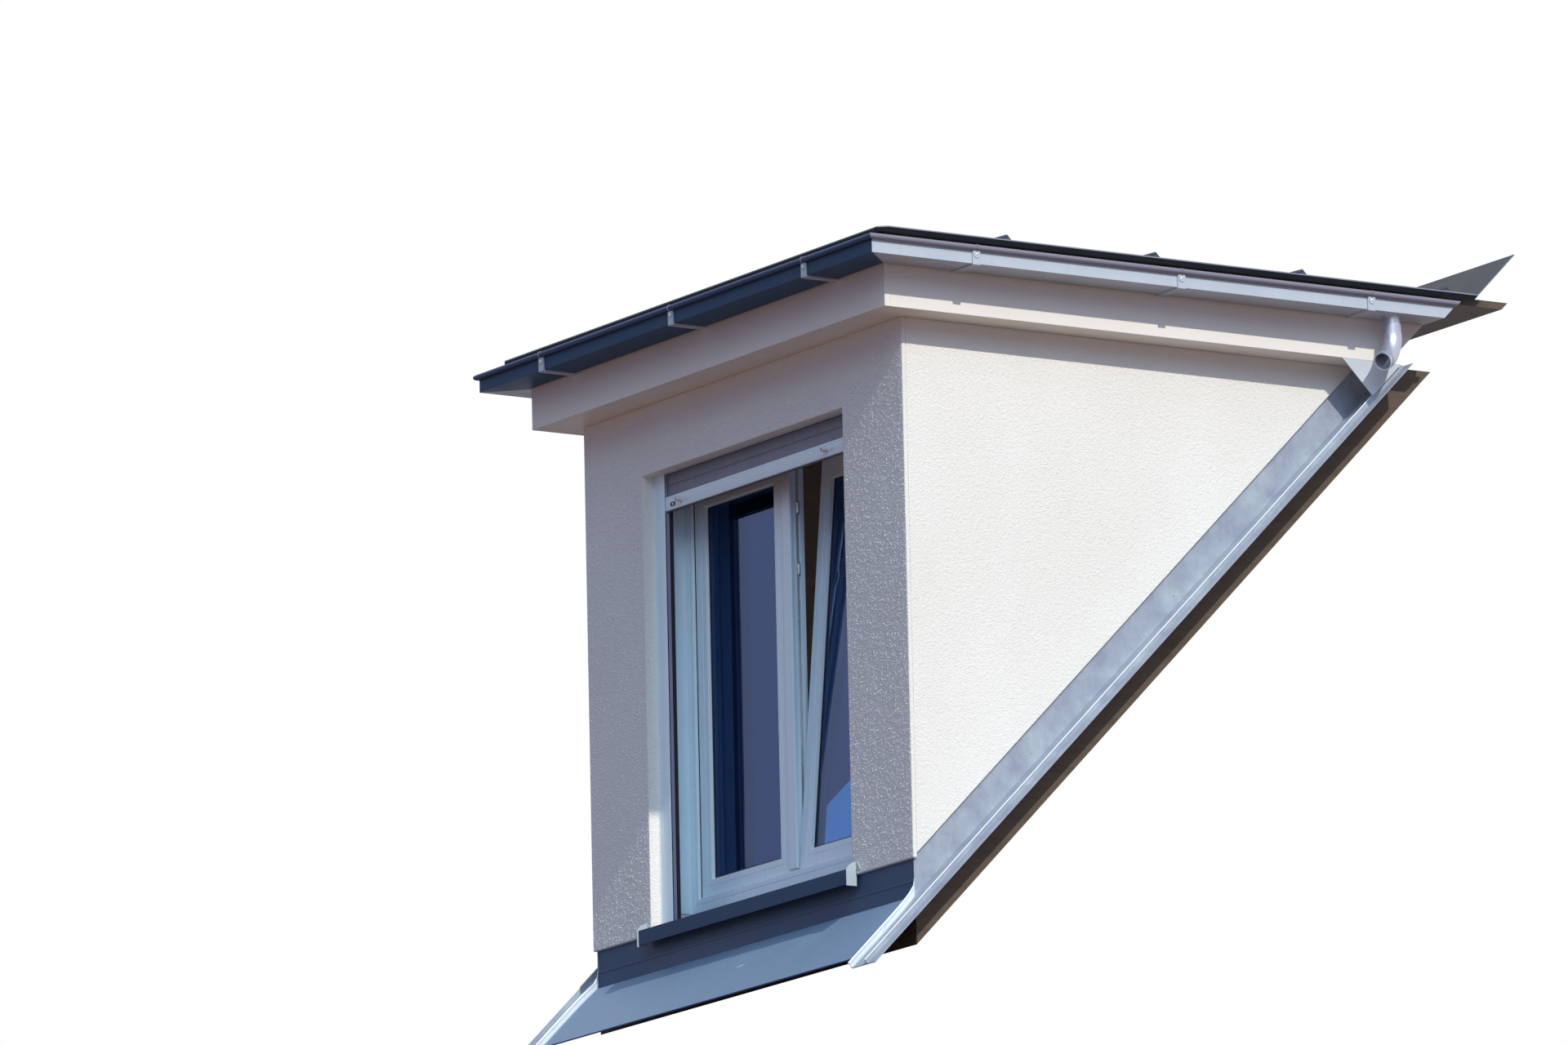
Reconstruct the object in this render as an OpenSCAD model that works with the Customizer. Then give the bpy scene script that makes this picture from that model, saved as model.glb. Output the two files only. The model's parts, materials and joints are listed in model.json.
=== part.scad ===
// Boxed dormer window on a pitched roof: rendered front and cheeks, a two-sash window
// with its right sash tilted open, a roller shutter, a sheet-metal roof, a box gutter
// on three sides, and the flashings that join it to the slope below.
// The modules are drawn with y = 0 on the render's face and z = 0 at its lower edge,
// and place() moves them so that the origin lies on the sloping seat of the front wall.

/* [Body] */
// Width over the render of the two cheeks
body_w = 2000; // [1700:10:2600]
// Height of the render from its lower edge to the soffit
wall_h = 1807; // [1790:1:2200]
// Slope of the main roof in degrees
roof_pitch = 45; // [40:1:50]
// Upright distance from the rafters to the render's lower edge
base_rise = 300; // [260:5:380]
// Thickness of the framed front wall behind its render
front_t = 225; // [210:5:300]
// Thickness of each framed cheek behind its render
cheek_t = 165; // [100:5:220]
// Thickness of the render
render_t = 15; // [10:1:25]

/* [Window opening] */
// Clear width between the rendered reveals
open_w = 1254; // [1000:2:1500]
// Height of the lintel from its underside up to the soffit
lintel_h = 238; // [230:1:300]
// Depth of the reveal from the render's face to the window frame
reveal_d = 162; // [150:1:180]

/* [Window] */
// Width of the frame that shows round the sashes
frame_face = 45; // [35:1:60]
// Thickness of the frame from outside to inside
frame_t = 62; // [58:1:80]
// Height of the frame's lower edge above the render's lower edge
frame_foot = 45; // [35:1:60]
// Height of the frame's lower member above the render's lower edge
sash_foot = 127; // [100:1:140]
// Width of a sash member's flat outer face
sash_face = 60; // [50:1:80]
// Width of that face on a sash's lower member
rail_face = 57; // [50:1:80]
// Width of the sloping bead between a sash's face and its glass
bead_w = 6; // [4:1:25]
// Depth of the glass behind a sash's face
glass_set = 14; // [8:1:18]
// Thickness of a sash from outside to inside
sash_t = 58; // [54:1:80]
// Distance between the two closed sashes
post_w = 51; // [45:1:60]
// Distance of their meeting to the right of the window's middle
meet_x = 3; // [0:1:10]
// Width of the strip that covers the meeting of the sashes
strip_w = 54; // [50:1:64]
// Projection of that strip in front of the sashes
strip_out = 10; // [6:1:14]
// Play between a sash and its frame
sash_play = 5; // [3:0.5:6]
// Overlap of a sash behind the lip of the frame
sash_lap = 8; // [5:1:12]
// Angle of the tilted sash in degrees
tilt = 5.1; // [1:0.1:7]
// Thickness of the sealed double glazing
glass_t = 24; // [20:1:32]

/* [Roller shutter] */
// Depth of the guide rails behind the render's face
guide_y = 45; // [40:1:60]
// Width of a guide rail's face
guide_w = 65; // [50:1:75]
// Depth of a guide rail from front to back
guide_d = 35; // [28:1:45]
// Thickness of the slatted curtain
curtain_t = 12; // [8:1:14]
// Height of one slat
slat_h = 40; // [30:1:55]
// Height of the bottom bar
bar_h = 48; // [40:1:60]
// Distance from the lintel down to the bottom bar's lower edge
bar_drop = 128; // [120:1:400]
// Height of the shutter box over the opening
box_h = 200; // [180:5:215]
// Wall thickness of the shutter box
box_wall = 12; // [8:1:20]

/* [Sill] */
// Projection of the sill in front of the render
sill_over = 35; // [20:1:60]
// Projection of the sill past each reveal
sill_side = 25; // [10:1:40]
// Height of the sill's nose
sill_nose = 50; // [35:1:60]
// Height of the sill's front edge above the render's lower edge
sill_edge = 15; // [10:1:25]
// Fall of the sill in degrees
sill_fall = 8; // [4:1:10]
// Height of the rear edge that stands against the frame
sill_back = 37; // [20:1:40]

/* [Eaves] */
// Overhang of the soffit at the front
front_over = 135; // [100:5:250]
// Overhang of the soffit at each side
side_over = 113; // [105:1:250]
// Height of the fascia boards
fascia_h = 229; // [215:1:280]
// Thickness of the fascia boards
fascia_t = 24; // [18:1:30]
// Thickness of the soffit boards
soffit_t = 18; // [12:1:24]

/* [Roof] */
// Fall of the roof to both sides in degrees
roof_fall = 2.5; // [1:0.5:5]
// Fall of the roof's front hip in degrees
hip_fall = 8; // [6:0.5:15]
// Thickness of the deck at its edge
deck_t = 24; // [18:1:30]
// Modelled thickness of the roof sheet
sheet_t = 4; // [2:0.5:5]
// Projection of the sheet past the fascia
sheet_over = 65; // [50:1:80]
// Height of the folded drip edge
drip_h = 18; // [12:1:30]
// Height of a standing seam
seam_h = 25; // [20:1:40]
// Width of a standing seam
seam_w = 6; // [4:1:10]
// Distance of the first seam behind the render's face
seam_first = 333; // [300:1:400]
// Distance between seams
seam_pitch = 588; // [430:1:600]

/* [Gutter] */
// Depth of the gutter from its back to its face
gutter_w = 122; // [90:1:150]
// Height of the gutter's face up to the bead
gutter_face = 43; // [35:1:70]
// Height of the gutter's back
gutter_back = 72; // [65:1:75]
// Wall thickness of the gutter as modelled
gutter_t = 3; // [2:0.5:4]
// Radius of the rolled bead
bead_r = 9.5; // [8:0.5:11]
// Height of the gutter's floor above the soffit
gutter_z = 143; // [135:1:148]
// Width of a bracket strap
strap_w = 30; // [20:1:40]
// Thickness of a bracket strap
strap_t = 6; // [4:1:8]
// Outer radius of the outlet pipe
outlet_r = 30; // [25:1:40]
// Wall thickness of the outlet pipe
outlet_wall = 2; // [1.5:0.5:3]
// Distance of the outlets from the gutter's upper end
outlet_back = 172; // [160:1:600]

/* [Flashings] */
// Upright distance from the render's lower edge to the flashing on the slope
flash_drop = 138; // [115:1:170]
// Upright distance from the render's lower edge to the tiled surface
tile_drop = 60; // [50:1:90]
// Thickness of the flashings as modelled
flash_t = 3; // [2:0.5:4]
// Height of the upper strip under the render
strip_h = 70; // [40:1:80]
// Horizontal run of the front apron
apron_run = 216; // [180:1:300]
// Widening of the apron at its lower corners
apron_flare = 19; // [10:1:60]
// Width of the side channels beyond the render
channel_w = 100; // [90:1:130]
// Height of the folded rim of the side channels
rim_h = 20; // [12:1:30]
// Width of the wing outside that rim, under the tiles
wing_w = 45; // [20:1:60]
// Height of the curved seam between apron and channel
joint_h = 26; // [15:1:32]
// Length of the flashing that runs up behind the roof
back_run = 250; // [150:10:350]

/* [Hidden] */
$fn = 64;

// Colours
c_render = [0.93, 0.91, 0.87];
c_core = [0.80, 0.70, 0.52];
c_board = [0.92, 0.90, 0.84];
c_sheet = [0.12, 0.13, 0.16];
c_zinc = [0.62, 0.67, 0.72];
c_slate = [0.28, 0.34, 0.44];
c_white = [0.90, 0.91, 0.94];
c_slat = [0.42, 0.40, 0.48];
c_glass = [0.55, 0.65, 0.75, 0.5];

// Reach of the cutting solids, and the slope as a ratio
far = 4000;
slope = tan(roof_pitch);
half_w = body_w / 2;

// Walls
core_x = half_w - render_t;
front_back = render_t + front_t;
cheek_in = core_x - cheek_t;
plate_z = wall_h + soffit_t;
open_top = wall_h - lintel_h;
seat_y = front_back / 2;

// Window opening
reveal_x = open_w / 2;
core_open_x = reveal_x + render_t;

// Frame and sashes
lip_t = 15;
liner_foot = sill_z(reveal_d) + sill_back;
lip_back = reveal_d + lip_t;
frame_back = reveal_d + frame_t;
lip_x = reveal_x - frame_face;
lip_top = open_top - frame_face;
rebate = sash_lap + sash_play;
seal_gap = 0.3;
liner_t = 3;
liner_y = 90;
sash_y = lip_back + seal_gap;
sash_x = lip_x + sash_lap;
sash_z0 = sash_foot - sash_lap;
sash_z1 = lip_top + sash_lap;
sash_back = sash_y + sash_t;
left_end = meet_x - post_w / 2;
right_end = meet_x + post_w / 2;
strip_x = right_end - 0.5;
strip_gap = 9;
post_x = strip_x - 6;
groove_y = 21;
groove_w = 14.5;
groove_d = 10;
rim_t = 8;
sight = sash_face + bead_w;
rail_sight = rail_face + bead_w;
glass_in = 12;
glass_y = sash_y + glass_set;
hinge_r = 7;
hinge_play = 0.3;
hinge_len = 60;
hinge_rise = 5;
hinge_inset = 20;
hinge_leaf_z = frame_foot + 5;
leaf_gap = 3;
hinge_z = sash_z0 + hinge_rise;
hinge_y = sash_back + hinge_r;

// Stay and handle of the tilted sash
stay_w = 16;
stay_t = 3;
stay_x = 250;
stay_rise = (sash_z1 - hinge_z) * cos(tilt) + (hinge_y - sash_y) * sin(tilt);
stay_z = hinge_z + stay_rise + 1;
stay_dx = core_open_x - stay_w - stay_x + stay_w / 2;
stay_dy = (sash_z1 - hinge_z) * sin(tilt) - hinge_r + hinge_y - frame_back - stay_w;
stay_turn = atan(stay_dy / stay_dx);
stay_len = norm([stay_dx, stay_dy]) + stay_w / 4;
plate_w = 32;
plate_h = 68;
plate_t = 11;
lever_w = 20;
lever_t = 12;
lever_len = 120;
lever_out = 50;

// Shutter
guide_play = 0.4;
guide_slot = 45;
guide_back = guide_y + guide_d;
guide_foot = 33;
curtain_y = guide_y + (guide_d - curtain_t) / 2;
curtain_play = 5;
curtain_x = reveal_x - guide_w + guide_slot - curtain_play;
slat_edge = 4;
slat_step = 3;
roll_in = 60;
bar_set = 4;
bar_z = open_top - bar_drop;
bar_top = bar_z + bar_h;
box_side = 40;
box_x = reveal_x + box_side;
box_y = 40;
box_play = 2;
box_top = open_top + box_h;
stop_x = 457;
stop_r = 9;
stop_len = 26;

// Sill end caps
cap_lip = 5;
cap_rise = 22;
cap_edge = 13;
cap_wing = 24;
cap_power = 1.3;

// Eaves and roof
eave_x = half_w + side_over;
eave_y = -front_over;
deck_z = wall_h + fascia_h;
sheet_x = eave_x + sheet_over;
sheet_y = eave_y - sheet_over;
seam_rows = [seam_first : seam_pitch : deck_z + flash_drop];
skirt = 100;
seam_end = 10;
seam_bevel = 30;

// Gutter
gutter_x0 = strap_t;
gutter_x1 = strap_t + gutter_w;
gutter_base = wall_h + gutter_z;
bead_set = 6.6;
bead_grip = 5.7;
bead_wall = 2.1;
bead_x = gutter_x1 + bead_set;
bead_z = gutter_face + bead_r;
bead_seat = bead_z - bead_grip;
clip_t = 2;
clip_cut = 30;
tab_h = 22;
tab_t = 2.5;
mitre_reach = 400;
mitre_drop = 50;
mitre_z = gutter_base - mitre_drop;
mitre_h = 200;
side_brackets = [141, 950, 1712];
front_brackets = [-830, 0, 830];
outlet_x = eave_x + gutter_x0 + gutter_w / 2;
outlet_y = (gutter_base + tile_drop) / slope - outlet_back;
outlet_bend = 65;
outlet_bend_r = 110;
outlet_drop = 60;
outlet_end = 20;
outlet_turn = -60;
outlet_grip = 5;
flange_w = 8;

// Flashings
fold_y = render_t - 2 * flash_t;
fold_s = fold_y / cos(roof_pitch);
apron_s = (fold_y - apron_run) / cos(roof_pitch);
tail_s = apron_s - 60;
seam_t = 5;
curve_steps = 12;
flare_power = 6;
swoop_h = 28;
swoop_y = 18;
swoop_s = 80;
channel_x = half_w + channel_w;
closer_drop = 127;
closer_y = wall_h - closer_drop;

function sill_z(y) = sill_edge + (y + sill_over) * tan(sill_fall);
function deck_top(x) = deck_z + deck_t + (eave_x - abs(x)) * tan(roof_fall);
function hip_top(y) = deck_z + deck_t + (y - eave_y) * tan(hip_fall);
// Edge of the apron at a share q of its run down the slope
function flare_x(q) = core_x + apron_flare * (1 - pow(1 - q, flare_power));
function flare_s(q) = fold_s + q * (apron_s - fold_s);
// Height of the top of the joint between apron and channel
function joint_z(y) = y * slope - flash_drop + joint_h / cos(roof_pitch);

module place() {
    translate([0, -seat_y, base_rise - seat_y * slope])
        children();
}

module on_right(side) {
    mirror([side < 0 ? 1 : 0, 0, 0])
        children();
}

// Prism with its outline in y and z, from x0 to x1
module yz_prism(points, x0, x1) {
    translate([x0, 0, 0])
        rotate([90, 0, 90])
            linear_extrude(x1 - x0)
                polygon(points);
}

// Prism with its outline in x and z, from y0 to y1
module xz_prism(points, y0, y1) {
    translate([0, y1, 0])
        rotate([90, 0, 0])
            linear_extrude(y1 - y0)
                polygon(points);
}

module block(x0, x1, y0, y1, z0, z1) {
    translate([x0, y0, z0])
        cube([x1 - x0, y1 - y0, z1 - z0]);
}

// Everything above a plane that runs parallel to the slope
module above_slope(drop) {
    yz_prism([
        [-far, -far * slope - drop],
        [far, far * slope - drop],
        [far, 3 * far],
        [-far, 3 * far]
    ], -far, far);
}

// Plane of the slope flashings: x across, y up the slope, z out of it
module on_slope() {
    translate([0, 0, -flash_drop])
        rotate([roof_pitch, 0, 0])
            children();
}

// Walls

module front_wall() {
    color(c_core) place() difference() {
        intersection() {
            block(-core_x, core_x, render_t, front_back, -far, plate_z);
            above_slope(base_rise);
        }
        yz_prism([
            [0, sill_z(0) - flash_t],
            [reveal_d, sill_z(reveal_d) - flash_t],
            [reveal_d, frame_foot],
            [front_back + 1, frame_foot],
            [front_back + 1, open_top],
            [box_y, open_top],
            [box_y, open_top + render_t],
            [0, open_top + render_t]
        ], -core_open_x, core_open_x);
        block(-box_x, box_x, box_y, front_back + 1, open_top, box_top);
    }
}

module cheek(side) {
    color(c_core) place() on_right(side) intersection() {
        block(cheek_in, core_x, front_back, far, -far, plate_z);
        above_slope(base_rise);
    }
}

module cheek_left() { cheek(-1); }

module cheek_right() { cheek(1); }

module front_render() {
    color(c_render) place() difference() {
        union() {
            block(-half_w, half_w, 0, render_t, 0, wall_h);
            block(-core_open_x, core_open_x, render_t, reveal_d, sill_edge, open_top);
            block(-core_open_x, core_open_x, render_t, box_y, open_top, open_top + render_t);
        }
        block(-reveal_x, reveal_x, -1, reveal_d + 1, frame_foot, open_top);
        yz_prism([
            [-1, sill_z(-1) - flash_t],
            [reveal_d + 1, sill_z(reveal_d + 1) - flash_t],
            [reveal_d + 1, open_top],
            [-1, open_top]
        ], -reveal_x, reveal_x);
        yz_prism([
            [render_t, -1],
            [render_t, sill_z(render_t) - flash_t],
            [reveal_d + 1, sill_z(reveal_d + 1) - flash_t],
            [reveal_d + 1, -1]
        ], -core_open_x, core_open_x);
    }
}

module cheek_render(side) {
    color(c_render) place() on_right(side) intersection() {
        block(core_x, half_w, render_t, far, 0, wall_h);
        above_slope(0);
    }
}

module cheek_render_left() { cheek_render(-1); }

module cheek_render_right() { cheek_render(1); }

// Roof

module roof_joists() {
    joist_w = 80;
    joist_gap = 590;
    color(c_core) place() intersection() {
        for (y = [render_t : joist_gap : deck_z + base_rise])
            block(-core_x, core_x, y, y + joist_w, plate_z, deck_z);
        above_slope(base_rise);
    }
}

module ceiling_panel() {
    color(c_board) place() intersection() {
        block(-cheek_in, cheek_in, front_back, far, plate_z - soffit_t, plate_z);
        above_slope(base_rise);
    }
}

// Roof body up to its top surface, with a rise above the deck and an overhang past it
module roof_body(rise, over, foot) {
    x1 = eave_x + over;
    y0 = eave_y - over;
    intersection() {
        xz_prism([
            [-x1, foot],
            [x1, foot],
            [x1, deck_top(x1) + rise],
            [0, deck_top(0) + rise],
            [-x1, deck_top(x1) + rise]
        ], y0, far);
        yz_prism([
            [y0, foot],
            [far, foot],
            [far, hip_top(far) + rise],
            [y0, hip_top(y0) + rise]
        ], -far, far);
    }
}

module roof_deck() {
    color(c_core) place() intersection() {
        roof_body(0, 0, deck_z);
        above_slope(base_rise);
    }
}

module roof_sheet() {
    color(c_sheet) place() intersection() {
        difference() {
            roof_body(sheet_t, sheet_over, deck_z - skirt);
            roof_body(0, sheet_over + 1, deck_z - skirt - 1);
        }
        above_slope(flash_drop);
    }
}

module standing_seams() {
    x1 = sheet_x - seam_end;
    x2 = x1 - seam_bevel;
    color(c_sheet) place() for (y = seam_rows)
        xz_prism([
            [-x1, deck_top(x1) + sheet_t],
            [0, deck_top(0) + sheet_t],
            [x1, deck_top(x1) + sheet_t],
            [x2, deck_top(x2) + sheet_t + seam_h],
            [0, deck_top(0) + sheet_t + seam_h],
            [-x2, deck_top(x2) + sheet_t + seam_h]
        ], y - seam_w / 2, y + seam_w / 2);
}

module drip_edge() {
    color(c_zinc) place() intersection() {
        difference() {
            roof_body(0, sheet_over, deck_z - skirt);
            block(-sheet_x + flash_t, sheet_x - flash_t, sheet_y + flash_t, far, 0, far);
            block(-far, far, -far, far, 0, deck_top(sheet_x) - drip_h);
        }
        above_slope(flash_drop);
    }
}

module back_flashing() {
    s0 = (deck_z + flash_drop) / sin(roof_pitch);
    color(c_sheet) place() difference() {
        on_slope()
            block(-sheet_x, sheet_x, s0, s0 + back_run, 0, flash_t);
        roof_body(sheet_t, sheet_over + 1, deck_z - skirt - 1);
    }
}

// Eaves

module soffit_front() {
    color(c_board) place()
        block(-eave_x + fascia_t, eave_x - fascia_t, eave_y + fascia_t, render_t, wall_h, plate_z);
}

module soffit_side(side) {
    color(c_board) place() on_right(side) intersection() {
        block(core_x, eave_x - fascia_t, render_t, far, wall_h, plate_z);
        above_slope(tile_drop);
    }
}

module soffit_left() { soffit_side(-1); }

module soffit_right() { soffit_side(1); }

module fascia_front() {
    color(c_board) place()
        block(-eave_x, eave_x, eave_y, eave_y + fascia_t, wall_h, deck_z);
}

module fascia_side(side) {
    color(c_board) place() on_right(side) intersection() {
        block(eave_x - fascia_t, eave_x, eave_y + fascia_t, far, wall_h, deck_z);
        above_slope(tile_drop);
    }
}

module fascia_left() { fascia_side(-1); }

module fascia_right() { fascia_side(1); }

module eaves_closers() {
    rim_drop = flash_drop - rim_h / cos(roof_pitch);
    foot = (closer_drop + rim_drop) / (1 + slope);
    color(c_zinc) place() for (side = [-1, 1])
        on_right(side)
            intersection() {
                yz_prism([
                    [closer_y, wall_h],
                    [closer_y + foot, wall_h - foot],
                    [closer_y + 2 * foot, wall_h]
                ], eave_x - flash_t, eave_x);
                above_slope(rim_drop);
            }
}

// Gutter

// Section of the gutter: x away from the fascia, y up
module gutter_section() {
    polygon([
        [gutter_x0, 0],
        [gutter_x1, 0],
        [gutter_x1, bead_seat],
        [gutter_x1 - gutter_t, bead_seat],
        [gutter_x1 - gutter_t, gutter_t],
        [gutter_x0 + gutter_t, gutter_t],
        [gutter_x0 + gutter_t, gutter_back],
        [gutter_x0, gutter_back]
    ]);
    translate([bead_x, bead_z])
        difference() {
            circle(bead_r);
            circle(bead_r - bead_wall);
        }
}

module gutter_fill() {
    polygon([
        [gutter_x0, 0],
        [gutter_x1, 0],
        [gutter_x1, gutter_face],
        [gutter_x0, gutter_back]
    ]);
}

// A section drawn away from the right fascia and carried along y
module along_side(y0, y1) {
    translate([eave_x, y1, gutter_base])
        rotate([90, 0, 0])
            linear_extrude(y1 - y0)
                children();
}

module along_front(x0, x1) {
    translate([x0, eave_y, gutter_base])
        rotate([90, 0, 90])
            linear_extrude(x1 - x0)
                mirror([1, 0, 0])
                    children();
}

// Plan of the front gutter between its two mitres
module front_mitre() {
    translate([0, 0, mitre_z])
        linear_extrude(mitre_h)
            polygon([
                [-eave_x, eave_y],
                [eave_x, eave_y],
                [eave_x + mitre_reach, eave_y - mitre_reach],
                [-eave_x - mitre_reach, eave_y - mitre_reach]
            ]);
}

module side_mitre() {
    translate([0, 0, mitre_z])
        linear_extrude(mitre_h)
            polygon([
                [eave_x, eave_y],
                [eave_x + mitre_reach, eave_y - mitre_reach],
                [eave_x + mitre_reach, far],
                [eave_x, far]
            ]);
}

module gutter_front() {
    color(c_slate) place() intersection() {
        along_front(-eave_x - mitre_reach, eave_x + mitre_reach)
            gutter_section();
        front_mitre();
    }
}

module gutter_side(side) {
    color(c_slate) place() on_right(side) difference() {
        intersection() {
            union() {
                along_side(eave_y - mitre_reach, far)
                    gutter_section();
                difference() {
                    along_side(0, far)
                        gutter_fill();
                    above_slope(tile_drop - gutter_t / cos(roof_pitch));
                }
            }
            side_mitre();
            above_slope(tile_drop);
        }
        translate([outlet_x, outlet_y, gutter_base - 1])
            cylinder(r = outlet_r - outlet_wall, h = gutter_t + 2);
    }
}

module gutter_left() { gutter_side(-1); }

module gutter_right() { gutter_side(1); }

// Strap under the gutter with its clip over the bead
module strap_section() {
    polygon([
        [0, -strap_t],
        [gutter_x1 + strap_t, -strap_t],
        [gutter_x1 + strap_t, bead_z - bead_r - 1],
        [gutter_x1, bead_z - bead_r - 1],
        [gutter_x1, 0],
        [gutter_x0, 0],
        [gutter_x0, fascia_h - gutter_z],
        [0, fascia_h - gutter_z]
    ]);
    translate([gutter_x1 + strap_t, gutter_face - tab_h])
        square([tab_t, tab_h]);
    translate([bead_x, bead_z])
        difference() {
            circle(bead_r + clip_t);
            circle(bead_r);
            translate([-clip_cut, -clip_cut])
                square(clip_cut);
        }
}

module gutter_brackets() {
    color(c_slate) place() {
        for (x = front_brackets)
            along_front(x - strap_w / 2, x + strap_w / 2)
                strap_section();
        for (side = [-1, 1])
            for (y = side_brackets)
                on_right(side)
                    along_side(y - strap_w / 2, y + strap_w / 2)
                        strap_section();
    }
}

// Round pipe along z
module pipe(r, bore, z0, z1) {
    rotate_extrude()
        translate([bore, z0])
            square([r - bore, z1 - z0]);
}

// Spigot under the gutter, elbow over its end, and end piece held in the elbow
module outlet(side) {
    bore = outlet_r - outlet_wall;
    elbow_bore = outlet_r - outlet_wall / 2;
    elbow_r = outlet_r + outlet_wall;
    color(c_zinc) place() on_right(side) translate([outlet_x, outlet_y, gutter_base]) {
        pipe(outlet_r, bore, -outlet_drop - outlet_grip, 0);
        pipe(outlet_r + flange_w, bore, -flash_t, 0);
        translate([0, 0, -outlet_drop])
            rotate([0, 0, outlet_turn])
                translate([outlet_bend_r, 0, 0])
                    rotate([90, 0, 0]) {
                        rotate([0, 0, 180])
                            rotate_extrude(angle = outlet_bend)
                                translate([outlet_bend_r, 0])
                                    difference() {
                                        circle(elbow_r);
                                        circle(elbow_bore);
                                    }
                        rotate([0, 0, 180 + outlet_bend])
                            translate([outlet_bend_r, 0, 0])
                                rotate([-90, 0, 0])
                                    pipe(outlet_r, bore, -outlet_grip, outlet_end);
                    }
    }
}

module outlet_left() { outlet(-1); }

module outlet_right() { outlet(1); }

// Window

// Frame, with thin liners of the reveal between it and the guide rails
module window_frame() {
    color(c_white) place() {
        for (side = [-1, 1])
            on_right(side)
                block(reveal_x - liner_t, reveal_x, liner_y, reveal_d, liner_foot, open_top);
        difference() {
            block(-core_open_x, core_open_x, reveal_d, frame_back, frame_foot, open_top);
            block(-lip_x, lip_x, reveal_d - 1, frame_back + 1, sash_foot, lip_top);
            block(-lip_x - rebate, lip_x + rebate, lip_back, frame_back + 1,
                sash_foot - rebate, lip_top + rebate);
        }
    }
}

module glass_pane(x0, x1) {
    w = sight - glass_in;
    block(x0 + sash_lap + w, x1 - w, glass_y, glass_y + glass_t,
        sash_foot + rail_sight - glass_in, lip_top - w);
}

// Cut that narrows on all four sides from the sash's face to its glass
module bead_cut(x0, x1, z0, z1) {
    front = sash_y - 1;
    out = bead_w / glass_set;
    intersection() {
        translate([0, 0, z0 - bead_w])
            linear_extrude(z1 - z0 + 2 * bead_w)
                polygon([
                    [x0 - bead_w - out, front],
                    [x1 + bead_w + out, front],
                    [x1, glass_y],
                    [x0, glass_y]
                ]);
        yz_prism([
            [front, z0 - bead_w - out],
            [glass_y, z0],
            [glass_y, z1],
            [front, z1 + bead_w + out]
        ], x0 - 2 * bead_w, x1 + 2 * bead_w);
    }
}

module sash(x0, x1) {
    in0 = x0 + sash_lap + sight;
    in1 = x1 - sight;
    z0 = sash_foot + rail_sight;
    z1 = lip_top - sight;
    difference() {
        block(x0, x1, sash_y, sash_back, sash_z0, sash_z1);
        bead_cut(in0, in1, z0, z1);
        block(in0, in1, glass_y - 1, sash_back + 1, z0, z1);
        glass_pane(x0, x1);
    }
}

module sash_left() {
    color(c_white) place()
        sash(-sash_x, left_end);
}

module glass_left() {
    color(c_glass) place()
        glass_pane(-sash_x, left_end);
}

// Post on the left sash: a strip in front, and a body with the groove for the lock's strikers
module meeting_post() {
    groove_back = sash_y + groove_y + groove_w;
    color(c_white) place() {
        block(strip_x - strip_w, strip_x, sash_y - strip_out, sash_y, sash_foot + strip_gap,
            lip_top - strip_gap);
        block(left_end, post_x, sash_y, sash_y + groove_y, sash_z0, sash_z1);
        block(left_end, post_x - groove_d, sash_y, sash_back, sash_z0, sash_z1);
        block(left_end, post_x, groove_back, groove_back + rim_t, sash_z0, sash_z1);
    }
}

// Leans a closed sash inwards about its lower hinges
module tilted() {
    translate([0, hinge_y, hinge_z])
        rotate([-tilt, 0, 0])
            translate([0, -hinge_y, -hinge_z])
                children();
}

module sash_right() {
    color(c_white) place() tilted()
        mirror([1, 0, 0])
            sash(-sash_x, -right_end);
}

module glass_right() {
    color(c_glass) place() tilted()
        mirror([1, 0, 0])
            glass_pane(-sash_x, -right_end);
}

// Hinges at the foot of the tilted sash, and the stay that holds its top
module sash_hinges() {
    pin_r = hinge_r - hinge_play;
    leaf_top = sash_z0 - sash_play - leaf_gap;
    color(c_zinc) place() for (x = [right_end + hinge_inset, sash_x - hinge_len - hinge_inset]) {
        translate([x, hinge_y, hinge_z])
            rotate([0, 90, 0])
                cylinder(r = pin_r, h = hinge_len);
        block(x, x + hinge_len, hinge_y, hinge_y + pin_r, hinge_leaf_z, hinge_z);
        block(x, x + hinge_len, frame_back, hinge_y + pin_r, hinge_leaf_z, leaf_top);
    }
    color(c_zinc) place() {
        tilted()
            block(stay_x - stay_w, stay_x, sash_back - stay_w, sash_back, sash_z1, sash_z1 + stay_w);
        block(lip_x + rebate, core_open_x, frame_back, frame_back + stay_w, stay_z, stay_z + stay_w);
        translate([core_open_x - stay_w, frame_back + stay_w / 2, stay_z])
            rotate([0, 0, 180 - stay_turn])
                block(0, stay_len, -stay_w / 2, stay_w / 2, 0, stay_t);
    }
}

// Lever on the inside of the tilted sash, turned up as it is while the sash is tilted
module sash_handle() {
    color(c_white) place() tilted()
        translate([right_end + sash_face / 2, sash_back, (sash_z0 + sash_z1) / 2]) {
            block(-plate_w / 2, plate_w / 2, 0, plate_t, -plate_h / 2, plate_h / 2);
            rotate([-90, 0, 0])
                cylinder(r = lever_w / 2, h = lever_out);
            block(-lever_w / 2, lever_w / 2, lever_out - lever_t, lever_out, -lever_w / 2, lever_len);
        }
}

// Roller shutter

module shutter_guides() {
    slot0 = curtain_y - guide_play;
    color(c_white) place() for (side = [-1, 1])
        on_right(side)
            difference() {
                block(reveal_x - guide_w, reveal_x, guide_y, guide_back, guide_foot, open_top);
                block(reveal_x - guide_w - 1, reveal_x - guide_w + guide_slot,
                    slot0, slot0 + curtain_t + 2 * guide_play, 0, far);
            }
}

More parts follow.
